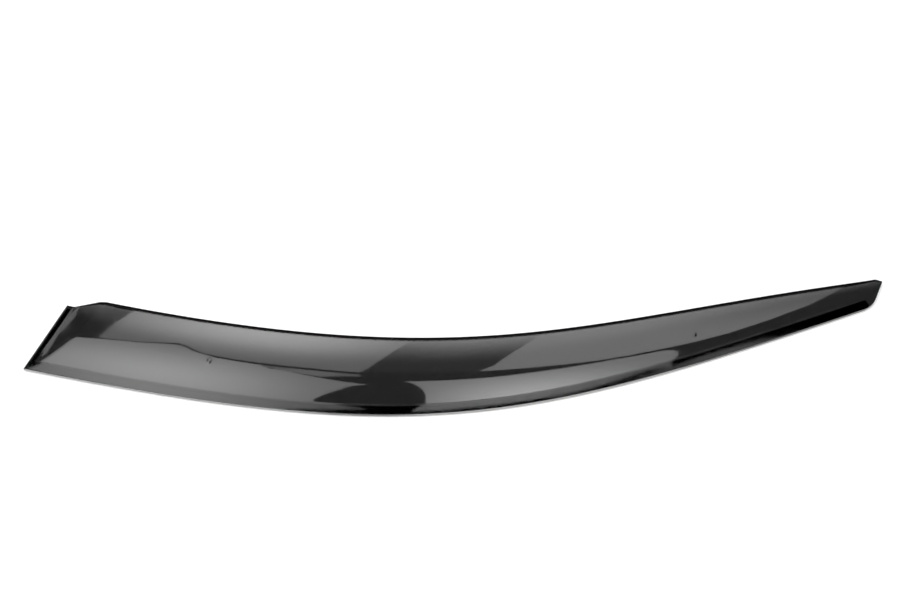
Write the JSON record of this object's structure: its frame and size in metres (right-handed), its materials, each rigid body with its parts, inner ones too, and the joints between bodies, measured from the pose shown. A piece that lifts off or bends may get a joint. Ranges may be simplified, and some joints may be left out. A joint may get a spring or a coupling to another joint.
{
  "type": "window rain deflector",
  "caption": "Stick-on tinted visor for the top of a car's front side window: a curved moulded sheet with a flat taped flange that keeps rain out while the window is open.",
  "frame": {"origin": "middle of the footprint, on the face of the tape that meets the glass", "axes": "+X along the length towards the narrow front tip, +Y from the bonded edge to the free edge, +Z away from the glass"},
  "size_m": [0.9, 0.1712, 0.0259],
  "materials": {
    "tinted_acrylic": "dark smoke tinted acrylic, polished on both faces, with paler cut edges",
    "foam_tape": "matte black double-sided foam tape"
  },
  "bodies": {
    "root": {"visor_shell": "tinted_acrylic", "mounting_tape": "foam_tape", "rear_tape": "foam_tape"}
  },
  "joints": []
}
